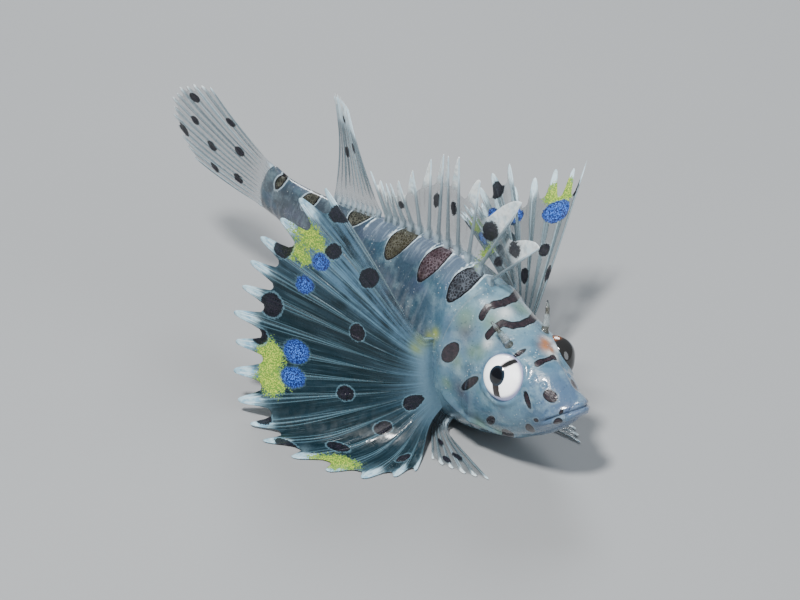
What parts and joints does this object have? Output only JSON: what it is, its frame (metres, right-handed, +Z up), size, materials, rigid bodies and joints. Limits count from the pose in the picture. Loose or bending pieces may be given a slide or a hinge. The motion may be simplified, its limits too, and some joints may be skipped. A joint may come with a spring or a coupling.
{
  "type": "zebra lionfish, young, still life-size model",
  "caption": "Life-size still model of a very young zebra lionfish resting on its breast and paired fins, with spread fan-like pectoral fins, a tall spiny back fin and a raised tail.",
  "frame": {"origin": "middle of the footprint of the whole fish, on the floor", "axes": "+X towards the snout, +Y towards the fish's left side, +Z up"},
  "size_m": [0.03, 0.02, 0.014],
  "materials": {
    "flesh": "wet, pale, slightly see-through skin",
    "fin": "thin clear fin skin between raised rays",
    "eye": "polished"
  },
  "bodies": {
    "root": {"head": "flesh", "trunk": "flesh", "tail_stem": "flesh", "eye_left": "eye", "eye_right": "eye", "eye_tentacle_left": "fin", "eye_tentacle_right": "fin", "dorsal_fin_spiny": "fin", "dorsal_fin_soft": "fin", "caudal_fin": "fin", "anal_fin": "fin", "pectoral_fin_left": "fin", "pectoral_fin_right": "fin", "pelvic_fin_left": "fin", "pelvic_fin_right": "fin"}
  },
  "joints": []
}
